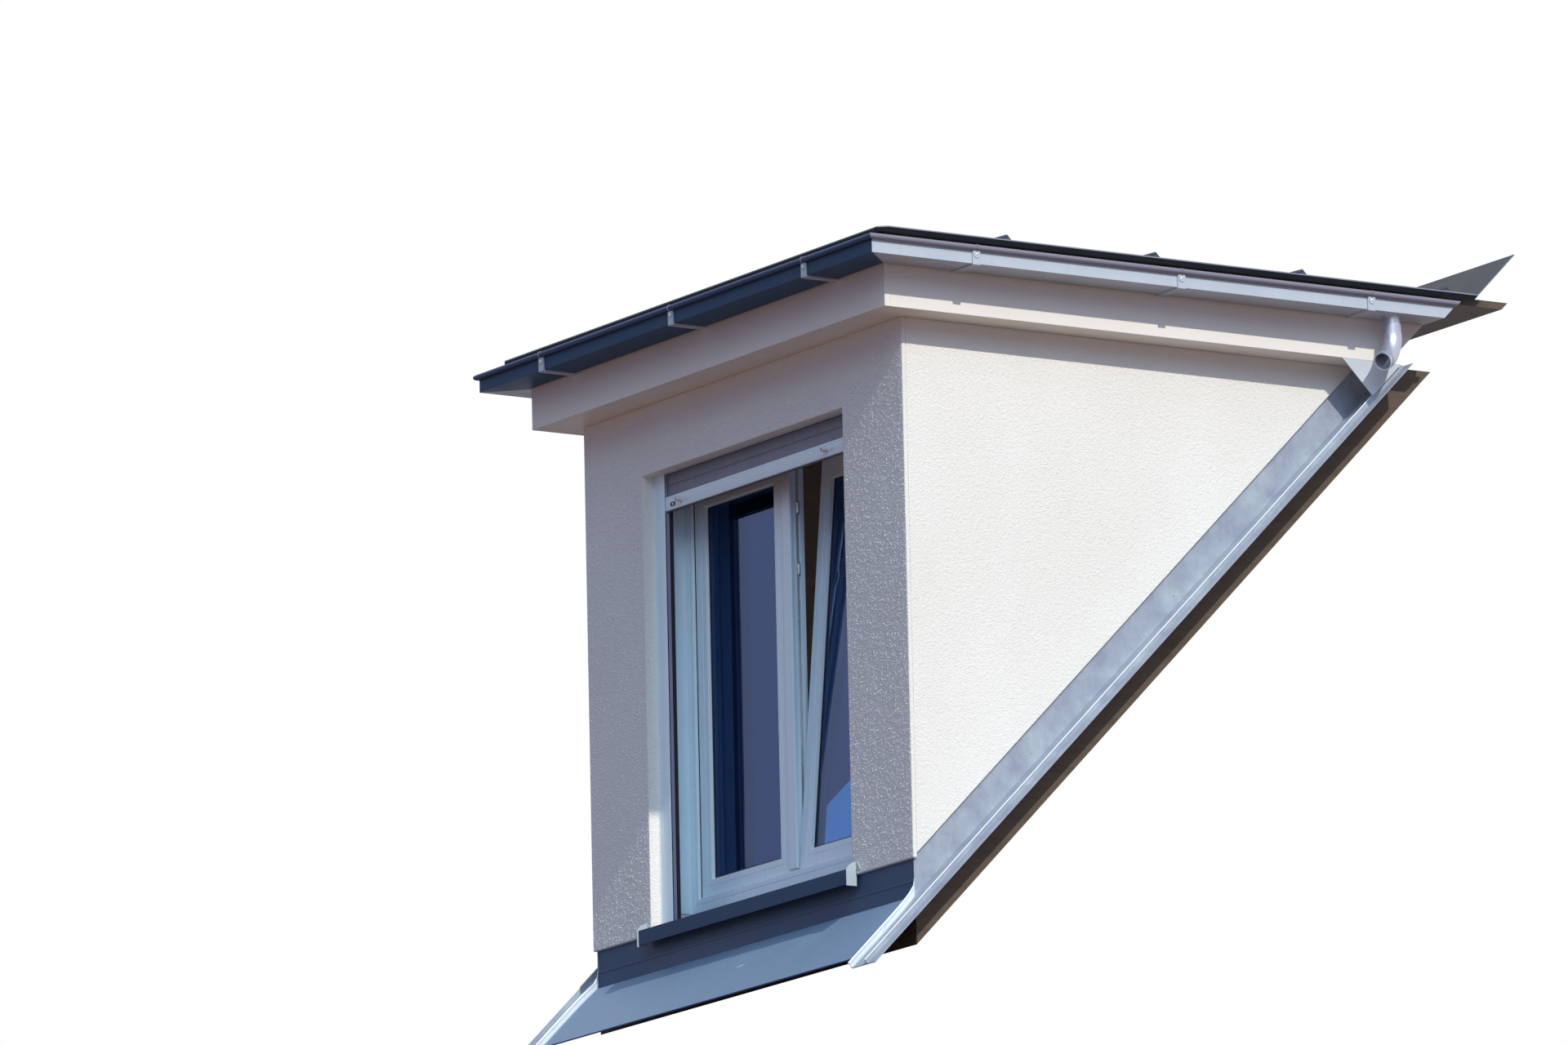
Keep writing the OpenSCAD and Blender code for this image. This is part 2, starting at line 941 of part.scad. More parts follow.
module shutter_curtain() {
    rows = floor((open_top + roll_in - bar_top) / slat_h);
    top = bar_top + rows * slat_h;
    slat = [[0, slat_step], [slat_edge, 0], [slat_h - slat_edge, 0], [slat_h, slat_step]];
    front = [for (i = [0 : rows - 1]) for (p = slat) [curtain_y + p[1], bar_top + i * slat_h + p[0]]];
    color(c_slat) place()
        yz_prism(concat(front, [
            [curtain_y + curtain_t, top],
            [curtain_y + curtain_t, bar_top]
        ]), -curtain_x, curtain_x);
}

module shutter_bottom_bar() {
    inner = reveal_x - guide_w - 1;
    color(c_white) place() {
        block(-inner, inner, guide_y + bar_set, curtain_y + curtain_t, bar_z, bar_top);
        block(-curtain_x, curtain_x, curtain_y, curtain_y + curtain_t, bar_z, bar_top);
    }
}

module shutter_stops() {
    color(c_white) place() for (side = [-1, 1])
        translate([side * stop_x, guide_y + bar_set, bar_z + bar_h / 2])
            rotate([90, 0, 0])
                cylinder(r = stop_r, h = stop_len);
}

module shutter_box() {
    color(c_white) place() difference() {
        block(-box_x, box_x, box_y, front_back, open_top, box_top);
        block(-box_x + box_wall, box_x - box_wall, box_y + box_wall, front_back - box_wall,
            open_top + box_wall, box_top - box_wall);
        block(-curtain_x - box_play, curtain_x + box_play, curtain_y - box_play,
            curtain_y + curtain_t + box_play, open_top - 1, open_top + box_wall + 1);
    }
}

// Sill

module window_sill() {
    plate = [
        [-sill_over, sill_edge - sill_nose],
        [-sill_over, sill_edge],
        [reveal_d - flash_t, sill_z(reveal_d - flash_t)],
        [reveal_d - flash_t, sill_z(reveal_d) + sill_back],
        [reveal_d, sill_z(reveal_d) + sill_back],
        [reveal_d, sill_z(reveal_d) - flash_t],
        [-sill_over + flash_t, sill_z(-sill_over + flash_t) - flash_t],
        [-sill_over + flash_t, sill_edge - sill_nose]
    ];
    color(c_slate) place() {
        yz_prism(plate, -reveal_x, reveal_x);
        intersection() {
            yz_prism(plate, -reveal_x - sill_side, reveal_x + sill_side);
            block(-far, far, -far, 0, -far, far);
        }
    }
}

// Plate over each end of the sill, rising to the wall, with a rounded wing against the render
module sill_end_caps() {
    x0 = reveal_x + sill_side;
    front = -sill_over - cap_lip;
    foot = sill_edge - sill_nose - cap_lip;
    rise = sill_z(0) + cap_rise - cap_edge;
    curve = [for (a = [0 : 15 : 90]) [pow(cos(a), cap_power), cap_edge + rise * pow(sin(a), cap_power)]];
    color(c_white) place() for (side = [-1, 1])
        on_right(side) {
            yz_prism(concat(
                [[0, foot], [front, foot]],
                [for (c = curve) [front * c[0], c[1]]]
            ), x0, x0 + flash_t);
            xz_prism(concat(
                [[x0, cap_edge + rise], [x0, cap_edge]],
                [for (c = curve) [x0 + flash_t + cap_wing * c[0], c[1]]]
            ), -flash_t, 0);
        }
}

// Flashings

module base_strip() {
    color(c_slate) place()
        block(-core_x, core_x, render_t - flash_t, render_t, fold_y * slope - flash_drop, 0);
}

// Outline of the apron's right edge, from the fold to the lower edge
function apron_edge(dx) = [for (i = [0 : curve_steps]) let (q = i / curve_steps)
    [flare_x(q) + dx, flare_s(q)]];

module apron_flashing() {
    right = apron_edge(0);
    left = [for (i = [curve_steps : -1 : 0]) [-right[i][0], right[i][1]]];
    color(c_slate) place() {
        on_slope()
            linear_extrude(flash_t)
                polygon(concat(right, left));
        block(-core_x, core_x, fold_y, fold_y + flash_t, fold_y * slope - flash_drop, -strip_h);
    }
}

// Same outline with the tail of the joint, which runs on past the apron's lower edge
function joint_edge(dx) = concat(apron_edge(dx), [[flare_x(1) + dx, tail_s]]);

// Upright joint along each end of the apron, sweeping up to the wall at its top
module apron_seams() {
    inner = concat([[core_x, fold_s + swoop_s]], joint_edge(0));
    outer = concat([[core_x + seam_t, fold_s + swoop_s]], joint_edge(seam_t));
    back = [for (i = [len(outer) - 1 : -1 : 0]) outer[i]];
    color(c_zinc) place() for (side = [-1, 1])
        on_right(side)
            intersection() {
                on_slope()
                    linear_extrude(swoop_s)
                        polygon(concat(inner, back));
                yz_prism([
                    [fold_y, joint_z(fold_y) + swoop_h],
                    [fold_y - swoop_y / 4, joint_z(fold_y) + swoop_h / 4],
                    [fold_y - swoop_y, joint_z(fold_y - swoop_y)],
                    [-far, joint_z(-far)],
                    [-far, -2 * far],
                    [fold_y, -2 * far]
                ], 0, far);
            }
}

module side_flashing(side) {
    edge = joint_edge(seam_t);
    lower = [for (i = [len(edge) - 1 : -1 : 0]) edge[i]];
    top_s = 2 * far;
    color(c_zinc) place() on_right(side) {
        intersection() {
            union() {
                on_slope() {
                    linear_extrude(flash_t)
                        polygon(concat(lower, [
                            [core_x, fold_s],
                            [core_x, top_s],
                            [channel_x, top_s],
                            [channel_x, tail_s]
                        ]));
                    block(channel_x - flash_t, channel_x, tail_s, top_s, 0, rim_h);
                    block(channel_x - flash_t, channel_x + wing_w, tail_s, top_s, 0, flash_t);
                }
                difference() {
                    intersection() {
                        block(core_x, core_x + flash_t, fold_y, far, -far, far);
                        above_slope(flash_drop);
                    }
                    above_slope(0);
                }
            }
            block(0, far, -far, far, -far, wall_h);
        }
    }
}

module side_flashing_left() { side_flashing(-1); }

module side_flashing_right() { side_flashing(1); }

front_wall();
cheek_left();
cheek_right();
front_render();
cheek_render_left();
cheek_render_right();
roof_joists();
ceiling_panel();
roof_deck();
roof_sheet();
standing_seams();
drip_edge();
soffit_front();
soffit_left();
soffit_right();
fascia_front();
fascia_left();
fascia_right();
gutter_front();
gutter_left();
gutter_right();
gutter_brackets();
outlet_left();
outlet_right();
window_frame();
sash_left();
glass_left();
meeting_post();
sash_right();
glass_right();
sash_hinges();
sash_handle();
shutter_guides();
shutter_curtain();
shutter_bottom_bar();
shutter_stops();
shutter_box();
window_sill();
sill_end_caps();
base_strip();
apron_flashing();
side_flashing_left();
side_flashing_right();
apron_seams();
eaves_closers();
back_flashing();
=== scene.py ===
# Looks of the boxed dormer window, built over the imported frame.
# Lengths of the fine pieces are in millimetres in the frame of the wall: y = 0 on the
# render's face, z = 0 at its lower edge. at() moves them into the row frame in metres.
import json
import math
import random

import bmesh
import bpy
from mathutils import Matrix, Vector


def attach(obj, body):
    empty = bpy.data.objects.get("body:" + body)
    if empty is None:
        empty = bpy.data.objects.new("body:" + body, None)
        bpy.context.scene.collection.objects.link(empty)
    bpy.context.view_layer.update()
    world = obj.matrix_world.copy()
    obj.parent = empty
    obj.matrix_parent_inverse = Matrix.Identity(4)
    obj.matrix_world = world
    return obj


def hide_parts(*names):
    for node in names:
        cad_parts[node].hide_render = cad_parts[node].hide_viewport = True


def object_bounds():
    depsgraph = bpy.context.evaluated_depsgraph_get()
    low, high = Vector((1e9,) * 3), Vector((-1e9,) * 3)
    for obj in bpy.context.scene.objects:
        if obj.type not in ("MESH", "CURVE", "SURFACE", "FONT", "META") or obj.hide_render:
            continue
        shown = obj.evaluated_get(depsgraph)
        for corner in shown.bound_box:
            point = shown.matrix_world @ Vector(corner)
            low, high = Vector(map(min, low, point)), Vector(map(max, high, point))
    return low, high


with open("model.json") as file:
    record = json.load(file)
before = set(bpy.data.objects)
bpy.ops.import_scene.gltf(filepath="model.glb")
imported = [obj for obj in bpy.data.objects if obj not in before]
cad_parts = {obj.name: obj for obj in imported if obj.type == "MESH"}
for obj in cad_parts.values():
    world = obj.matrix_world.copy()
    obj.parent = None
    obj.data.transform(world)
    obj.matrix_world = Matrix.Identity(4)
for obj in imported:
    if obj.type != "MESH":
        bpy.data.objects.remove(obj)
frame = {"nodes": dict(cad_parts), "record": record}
NODES = frame["nodes"]
CAD_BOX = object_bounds()

# Place of the wall's frame in the row frame
SEAT_Y, RISE = 120, 180


def at(x, y, z):
    """Point of the wall's frame, in metres of the row frame."""
    return Vector((x, y - SEAT_Y, z + RISE)) / 1000


# Camera: where the photo was taken from, far off and below, with a long lens
AZIMUTH, ELEVATION, ROLL = (math.radians(a) for a in (57.53, 11.41, -1.23))
CAMERA_AT, LENS, SENSOR, FARTHEST = (41.025, -26.062, -8.322), 340.9, 36, 500
level = Vector((math.cos(AZIMUTH), math.sin(AZIMUTH), 0))
ahead = Vector((-level.y * math.cos(ELEVATION), level.x * math.cos(ELEVATION), math.sin(ELEVATION)))
right = level * math.cos(ROLL) + level.cross(ahead) * math.sin(ROLL)
over = right.cross(ahead)
camera = bpy.data.objects.new("camera", bpy.data.cameras.new("camera"))
camera.data.lens = LENS
camera.data.sensor_width = SENSOR
camera.data.clip_end = FARTHEST
camera.matrix_world = Matrix.Translation(CAMERA_AT) @ Matrix((right, over, -ahead)).transposed().to_4x4()
bpy.context.scene.collection.objects.link(camera)
bpy.context.scene.camera = camera


# Node helpers
def add(tree, kind, inputs=None, **props):
    node = tree.nodes.new(kind)
    for key, value in props.items():
        setattr(node, key, value)
    for key, value in (inputs or {}).items():
        if isinstance(value, bpy.types.NodeSocket):
            tree.links.new(value, node.inputs[key])
        else:
            node.inputs[key].default_value = value
    return node


def coords(tree, stretch=(1, 1, 1)):
    source = add(tree, "ShaderNodeTexCoord").outputs["Object"]
    return add(tree, "ShaderNodeMapping", {"Vector": source, "Scale": stretch}).outputs["Vector"]


def noise(tree, vector, scale, detail=3, rough=0.55):
    ins = {"Vector": vector, "Scale": scale, "Detail": detail, "Roughness": rough}
    return add(tree, "ShaderNodeTexNoise", ins).outputs["Fac"]


def cells(tree, vector, scale, feature="F1"):
    ins = {"Vector": vector, "Scale": scale}
    return add(tree, "ShaderNodeTexVoronoi", ins, feature=feature).outputs["Distance"]


def spread(tree, value, low, high, to_low=0.0, to_high=1.0):
    ins = {"Value": value, "From Min": low, "From Max": high, "To Min": to_low, "To Max": to_high}
    return add(tree, "ShaderNodeMapRange", ins).outputs["Result"]


def math_node(tree, operation, a, b):
    return add(tree, "ShaderNodeMath", {0: a, 1: b}, operation=operation).outputs[0]


def mix(tree, factor, a, b):
    node = add(tree, "ShaderNodeMix", data_type="RGBA")
    for key, value in (("Factor_Float", factor), ("A_Color", a), ("B_Color", b)):
        socket = next(s for s in node.inputs if s.identifier == key)
        if isinstance(value, bpy.types.NodeSocket):
            tree.links.new(value, socket)
        else:
            socket.default_value = (*value, 1) if isinstance(value, tuple) else value
    return next(s for s in node.outputs if s.identifier == "Result_Color")


def bump(tree, height, distance, strength=1.0, under=None):
    ins = {"Height": height, "Distance": distance, "Strength": strength}
    if under is not None:
        ins["Normal"] = under
    return add(tree, "ShaderNodeBump", ins).outputs["Normal"]


def srgb(r, g, b):
    """Linear colour of a screen colour given in 0 to 255."""
    shares = (c / 255 for c in (r, g, b))
    return tuple(c / 12.92 if c <= 0.04045 else ((c + 0.055) / 1.055) ** 2.4 for c in shares)


def scaled(color, factor):
    return tuple(c * factor for c in color)


def material(name):
    mat = bpy.data.materials.new(name)
    mat.use_nodes = True
    return mat, mat.node_tree, mat.node_tree.nodes["Principled BSDF"]


def shade(tree, shader, color, rough, normal=None, **constants):
    """Sets the shader's inputs, from sockets by links and from values on its own sockets."""
    for key, value in (("Base Color", color), ("Roughness", rough), ("Normal", normal)):
        if isinstance(value, bpy.types.NodeSocket):
            tree.links.new(value, shader.inputs[key])
        elif value is not None:
            shader.inputs[key].default_value = (*value, 1) if isinstance(value, tuple) else value
    for key, value in constants.items():
        shader.inputs[key.replace("_", " ")].default_value = value


# Materials
def make_render():
    mat, tree, shader = material("render")
    vector = coords(tree)
    domes = cells(tree, vector, 190, "SMOOTH_F1")
    fine = noise(tree, vector, 420, 2, 0.6)
    lumps = noise(tree, vector, 70, 2, 0.5)
    height = math_node(tree, "ADD", domes, math_node(tree, "ADD", fine, lumps))
    patches = noise(tree, coords(tree, (1, 1, 0.6)), 2.2, 4, 0.6)
    color = mix(tree, spread(tree, patches, 0.3, 0.7), srgb(238, 234, 226), srgb(243, 240, 233))
    pits = spread(tree, height, 0.8, 1.4)
    color = mix(tree, spread(tree, pits, 0, 1, 0.2, 0), color, srgb(196, 189, 180))
    shade(tree, shader, color, spread(tree, fine, 0.3, 0.7, 0.66, 0.85), bump(tree, height, 0.0015))
    return mat


def make_board():
    mat, tree, shader = material("board")
    streaks = noise(tree, coords(tree, (1, 1, 0.8)), 3, 4, 0.6)
    grain = noise(tree, coords(tree, (1, 1, 5)), 90, 3, 0.6)
    color = mix(tree, spread(tree, streaks, 0.35, 0.7), srgb(240, 236, 228), srgb(236, 231, 222))
    shade(tree, shader, color, spread(tree, grain, 0.3, 0.7, 0.42, 0.58), bump(tree, grain, 0.0002, 0.3))
    return mat


def make_timber():
    mat, tree, shader = material("timber")
    warp = noise(tree, coords(tree), 3, 2)
    vector = coords(tree, (14, 1.2, 14))
    ins = {"Vector": vector, "Scale": 1.6, "Distortion": 5, "Detail": 3}
    rings = add(tree, "ShaderNodeTexWave", ins).outputs["Fac"]
    fibre = noise(tree, coords(tree, (90, 6, 90)), 3, 4, 0.65)
    # Dark browns: the wood's own tone, darkened further as painted shade for the dim room behind the glass
    color = mix(tree, spread(tree, rings, 0.2, 0.9), srgb(92, 78, 64), srgb(80, 67, 54))
    color = mix(tree, spread(tree, warp, 0.3, 0.7, 0, 0.35), color, srgb(72, 60, 48))
    height = math_node(tree, "ADD", rings, fibre)
    shade(tree, shader, color, spread(tree, fibre, 0.3, 0.7, 0.6, 0.8), bump(tree, height, 0.0008, 0.5))
    return mat


# Heights between which a gutter's face turns into its bead, in metres of the row frame
BEAD_FROM, BEAD_TO = 2.1725, 2.1745


def make_sheet(name, light, dark, rough, metal, mottle, specular,
               vertical_painted_light=None, bead=None, specks=None):
    """Folded sheet: slow colour drift, rain streaks, soft oil-canning, fine scratches.
    The tone for vertical faces is painted light: a painted highlight on the roof sheet, painted
    shade on the apron. The bead's tone is painted light on a gutter's bead: painted shade on the
    side gutters, a painted highlight on the front gutter. Specks are dirt."""
    mat, tree, shader = material(name)
    vector = coords(tree)
    drift = noise(tree, vector, mottle, 5, 0.65)
    streaks = noise(tree, coords(tree, (26, 26, 2.5)), 2, 4, 0.6)
    color = mix(tree, spread(tree, drift, 0.32, 0.68), dark, light)
    color = mix(tree, spread(tree, streaks, 0.45, 0.75, 0, 0.15), color, scaled(dark, 0.78))
    if specks:
        dots = spread(tree, cells(tree, vector, 34), 0.05, 0.11, 0.75, 0)
        where = spread(tree, noise(tree, vector, 9, 2), 0.46, 0.6)
        color = mix(tree, math_node(tree, "MULTIPLY", dots, where), color, specks)
    # Painted light by slope: vertical faces take their own tone, paler on the roof sheet as a painted highlight,
    # darker on the apron as painted shade
    if vertical_painted_light:
        faces = add(tree, "ShaderNodeNewGeometry").outputs["True Normal"]
        slope = add(tree, "ShaderNodeSeparateXYZ", {0: faces}).outputs["Z"]
        color = mix(tree, spread(tree, slope, 0.1, 0.6), vertical_painted_light, color)
    # Painted light on a gutter's bead, between the heights above: darker on the side gutters as painted shade,
    # lighter on the front gutter as a painted highlight
    if bead:
        tall = add(tree, "ShaderNodeSeparateXYZ", {0: vector}).outputs["Z"]
        color = mix(tree, spread(tree, tall, BEAD_FROM, BEAD_TO), color, bead)
    waves = noise(tree, vector, 3.5, 1, 0.4)
    scratches = noise(tree, coords(tree, (8, 90, 8)), 12, 2, 0.5)
    normal = bump(tree, scratches, 0.0001, 0.4, bump(tree, waves, 0.006, 0.5))
    shade(tree, shader, color, spread(tree, drift, 0.3, 0.7, rough - 0.06, rough + 0.09), normal,
          Metallic=metal, Specular_IOR_Level=specular)
    return mat


def make_plastic(name, color_a, color_b, rough):
    mat, tree, shader = material(name)
    drift = noise(tree, coords(tree), 4, 3, 0.5)
    fine = noise(tree, coords(tree), 420, 2, 0.5)
    dust = noise(tree, coords(tree, (6, 6, 1)), 7, 5, 0.7)
    color = mix(tree, spread(tree, drift, 0.3, 0.7), color_a, color_b)
    color = mix(tree, spread(tree, dust, 0.55, 0.8, 0, 0.18), color, scaled(color_b, 0.7))
    normal = bump(tree, fine, 0.00008, 0.6)
    shade(tree, shader, color, spread(tree, dust, 0.3, 0.7, rough - 0.05, rough + 0.1), normal)
    return mat


def make_glass():
    mat, tree, shader = material("glass")
    dust = noise(tree, coords(tree, (3, 3, 1)), 9, 5, 0.7)
    waves = noise(tree, coords(tree), 2.2, 1, 0.4)
    # Blue tint and blue specular tint: partly the glass's own tint, partly a painted reflection of a blue sky
    tint = mix(tree, spread(tree, dust, 0.4, 0.8), srgb(110, 158, 206), srgb(102, 150, 199))
    shade(tree, shader, tint, spread(tree, dust, 0.5, 0.8, 0.0, 0.05), bump(tree, waves, 0.002, 0.2),
          IOR=1.6, Transmission_Weight=1.0, Specular_Tint=(0.0, 0.15, 0.85, 1.0))
    return mat


def make_steel(name, color, rough):
    mat, tree, shader = material(name)
    fine = noise(tree, coords(tree, (1, 1, 30)), 90, 3, 0.6)
    drift = noise(tree, coords(tree), 25, 3, 0.6)
    tone = mix(tree, spread(tree, drift, 0.3, 0.7), scaled(color, 0.8), color)
    normal = bump(tree, fine, 0.0001, 0.5)
    shade(tree, shader, tone, spread(tree, drift, 0.3, 0.7, rough, rough + 0.15), normal, Metallic=1.0)
    return mat


# Sheets: light tone, dark tone, roughness, metal, mottling's scale, specular, marks
SHEETS = {
    # roof sheet: its vertical faces, the edges and seam sides, are paler as a painted highlight
    "roof_sheet": ((62, 66, 78), (48, 52, 62), 0.45, 0.05, 6, 0.15, {"vertical_painted_light": (140, 143, 152)}),
    # drip: near black, darker than the roof sheet: a dark sheet, and painted shade of the gap under the sheet's
    # edge
    "drip": ((30, 32, 38), (22, 24, 30), 0.5, 0.05, 6, 0.05, {}),
    # gutter: the bead's darker tone is painted shade
    "gutter": ((192, 200, 210), (184, 193, 205), 0.45, 0.1, 2.5, 0.15, {"bead": (128, 124, 138)}),
    # front gutter: a darker, bluer copy of the gutter's zinc, painted shade; its lighter bead is a painted
    # highlight
    "gutter_front": ((64, 88, 118), (58, 81, 110), 0.45, 0.0, 2.5, 0.05, {"bead": (78, 92, 122)}),
    "outlet_zinc": ((196, 198, 212), (180, 183, 200), 0.3, 0.6, 4, 0.15, {}),
    "sill_sheet": ((66, 86, 114), (60, 80, 108), 0.45, 0.0, 2.5, 0.05, {}),
    # apron: its vertical faces are darker as painted shade
    "apron_sheet": ((124, 147, 172), (116, 139, 165), 0.45, 0.05, 3, 0.1, {"vertical_painted_light": (66, 86, 116)}),
    "zinc": ((174, 184, 192), (146, 152, 170), 0.45, 0.1, 9, 0.15, {"specks": (60, 64, 76)}),
    "bright_zinc": ((222, 229, 234), (206, 216, 224), 0.4, 0.1, 9, 0.15, {}),
    "closer": ((210, 216, 220), (200, 207, 213), 0.45, 0.1, 3, 0.15, {}),
}
# Plastics and paints: two tones, roughness
PLASTICS = {
    # window plastic: white, with a blue cast that is painted blue skylight
    "window_plastic": ((233, 250, 255), (227, 245, 254), 0.3),
    "spacer": ((96, 106, 112), (82, 92, 98), 0.5),
    "slats": ((114, 116, 136), (106, 108, 128), 0.5),
    "stop_rubber": ((236, 230, 230), (224, 217, 218), 0.5),
    "sill_cap": ((182, 192, 198), (172, 182, 190), 0.45),
    # black rubber for gaskets, also used as painted shade in the guides' gaps and the bar's holes
    "gasket": ((34, 34, 38), (26, 26, 30), 0.6),
    "brush": ((168, 162, 188), (154, 148, 176), 0.9),
}
MATS = {
    "render": make_render(), "timber": make_timber(), "board": make_board(), "glass": make_glass(),
    "hardware": make_steel("hardware", srgb(214, 214, 216), 0.25),
}
for name, (light, dark, rough, metal, mottle, specular, marks) in SHEETS.items():
    marks = {mark: srgb(*tone) for mark, tone in marks.items()}
    MATS[name] = make_sheet(name, srgb(*light), srgb(*dark), rough, metal, mottle, specular, **marks)
for name, (first, second, rough) in PLASTICS.items():
    MATS[name] = make_plastic(name, srgb(*first), srgb(*second), rough)

# Nodes whose finish isn't the one named like their slot; the front gutter's finish is painted shade, a darker
# copy of the gutter's zinc
OWN_FINISH = {"gutter_front": "gutter_front", "eaves_closers": "closer"}
SLOT_OF = {n["node"]: n["material_slot"] for n in frame["record"]["subparts"]}
for name, node in NODES.items():
    for place in node.material_slots:
        place.material = MATS[OWN_FINISH.get(name, SLOT_OF[name])]


# Sizes of the CAD part that the fine pieces sit on, in millimetres
OPEN_X, OPEN_TOP, REVEAL = 627, 1569, 162
EAVE_X, EAVE_Y, DECK_Z = 1113, -135, 2036
FRAME_FOOT, FRAME_BACK, FRAME_GROOVE = 45, 224, 163.4
LIP_X, LIP_Z0, LIP_Z1, LIP_BACK, REBATE = 582, 127, 1524, 177, 13
SASH_Y, SASH_BACK, SASH_GROOVE, SASH_X, LEFT_END, RIGHT_END, LAP = 177.3, 235.3, 178.3, 590, -22.5, 28.5, 8
STILE, RAIL_FOOT, BEAD, GLASS_Y, GLASS_T, GLASS_IN, PANE, PANE_IN, SEAL = 60, 57, 6, 191.3, 24, 12, 4, 11, 2.5
TILT = math.radians(5.1)
GUIDE_Y, GUIDE_W, GUIDE_BACK, GUIDE_FOOT = 45, 65, 80, 33
CURTAIN_Y, CURTAIN_T, CURTAIN_X, BAR_Z, BAR_TOP = 56.5, 12, 602, 1441, 1489
SLAT, SLAT_ROWS = 40, 3
STOP_X, STOP_Z, LOCK_X, LOCK_Z, LOCK_R = 457, 1464, -514, 1459, 8
GUTTER_Z, GUTTER_X1, STRAP_W, STRAP_T = 1950, 128, 30, 6
BEAD_X, BEAD_Z, BEAD_R = 134.6, 52.5, 9.5
SEAM_ROWS = (333, 921, 1509, 2097)

# Distance for the outer side of a ring's profile, which its limits then cut back
FAR = 999
FORWARDS = (0, -1, 0)


# Places for outlines that are carried along an axis
def along_x(u, v, w):
    return at(w, u, v)


def along_y(u, v, w):
    return at(u, w, v)


def along_z(u, v, w):
    return at(u, v, w)


def prism(bm, outline, place, low, high):
    """Closed outline carried from low to high; place() turns its values into a point."""
    ends = [[bm.verts.new(place(u, v, w)) for u, v in outline] for w in (low, high)]
    for i in range(len(outline)):
        j = (i + 1) % len(outline)
        bm.faces.new((ends[0][i], ends[0][j], ends[1][j], ends[1][i]))
    bm.faces.new(ends[0])
    bm.faces.new(ends[1])


def slab(bm, x0, x1, y0, y1, z0, z1):
    prism(bm, ((x0, y0), (x1, y0), (x1, y1), (x0, y1)), along_z, z0, z1)


def ring(bm, rect, profile, limits=(FAR, FAR, FAR, FAR)):
    """Mitred frame round an inner rectangle: profile in (distance outwards, y), with the
    distance kept inside the limits of the left, lower, right and upper member."""
    x0, z0, x1, z1 = rect
    rows = []
    for out, y in profile:
        a, b, c, d = (min(out, limit) for limit in limits)
        corners = ((x0 - a, z0 - b), (x1 + c, z0 - b), (x1 + c, z1 + d), (x0 - a, z1 + d))
        rows.append([bm.verts.new(at(x, y, z)) for x, z in corners])
    for low, high in zip(rows, rows[1:] + rows[:1]):
        for i in range(4):
            j = (i + 1) % 4
            bm.faces.new((low[i], low[j], high[j], high[i]))


def lathe(bm, centre, axis, profile, segments=24):
    """Turns (radius, distance along the axis) round an axis through centre."""
    turn = Vector(axis).to_track_quat("Z", "Y")
    rows = []
    for radius, along in profile:
        angles = (2 * math.pi * i / segments for i in range(segments))
        points = (Vector((radius * math.cos(a), radius * math.sin(a), along)) for a in angles)
        rows.append([bm.verts.new(centre + turn @ point / 1000) for point in points])
    for low, high in zip(rows, rows[1:]):
        for i in range(segments):
            j = (i + 1) % segments
            bm.faces.new((low[i], low[j], high[j], high[i]))
    bm.faces.new(rows[0])
    bm.faces.new(rows[-1])


def arc(x, y, radius, start, end, steps):
    """Points of an arc in degrees."""
    angles = (math.radians(start + (end - start) * i / steps) for i in range(steps + 1))
    return [(x + radius * math.cos(a), y + radius * math.sin(a)) for a in angles]


def dress(name, mesh, slot, replaced=(), width=0, corner=30, finish=None):
    obj = bpy.data.objects.new(name, mesh)
    bpy.context.scene.collection.objects.link(obj)
    mesh.materials.append(MATS[finish or slot])
    mesh.shade_smooth()
    mesh.set_sharp_from_angle(angle=math.radians(corner))
    if width:
        edge = obj.modifiers.new("edges", "BEVEL")
        edge.width = width / 1000
        edge.segments = 2
        edge.limit_method = "ANGLE"
        edge.angle_limit = math.radians(corner)
        edge.harden_normals = True
    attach(obj, "root")
    if replaced:
        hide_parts(*replaced)
    return obj


def piece(name, bm, slot, *replaced, width=0, move=None, finish=None, corner=30):
    """Piece of the visual model; width is the rounding of its edges, replaced the nodes it hides."""
    if move is not None:
        bmesh.ops.transform(bm, matrix=move, verts=bm.verts)
    bmesh.ops.recalc_face_normals(bm, faces=bm.faces)
    mesh = bpy.data.meshes.new(name)
    bm.to_mesh(mesh)
    bm.free()
    return dress(name, mesh, slot, replaced, width, corner, finish)


# Softened copies: every folded or sawn edge of a CAD solid gets its small real radius
WELD, FLAT = 1e-5, math.radians(0.5)


def soften(name, width):
    bm = bmesh.new()
    bm.from_mesh(NODES[name].data)
    bmesh.ops.remove_doubles(bm, verts=bm.verts, dist=WELD)
    bmesh.ops.dissolve_limit(bm, angle_limit=FLAT, verts=bm.verts, edges=bm.edges)
    mesh = bpy.data.meshes.new(name + "_soft")
    bm.to_mesh(mesh)
    bm.free()
    dress(name + "_soft", mesh, SLOT_OF[name], (name,), width)


SOFT = {
    "front_render": 4, "cheek_render_left": 4, "cheek_render_right": 4,
    "fascia_front": 2, "fascia_left": 2, "fascia_right": 2,
    "soffit_front": 1, "soffit_left": 1, "soffit_right": 1,
    "window_sill": 1, "sill_end_caps": 1, "sash_handle": 3,
}
for name, width in SOFT.items():
    soften(name, width)


# Coarse grains standing out of the front render, which catch the grazing sun
GRAIN_X, GRAIN_Z0, GRAIN_Z1, GRAIN_CLEAR, GRAIN_ROOT = 996, 4, 1803, 6, 0.2


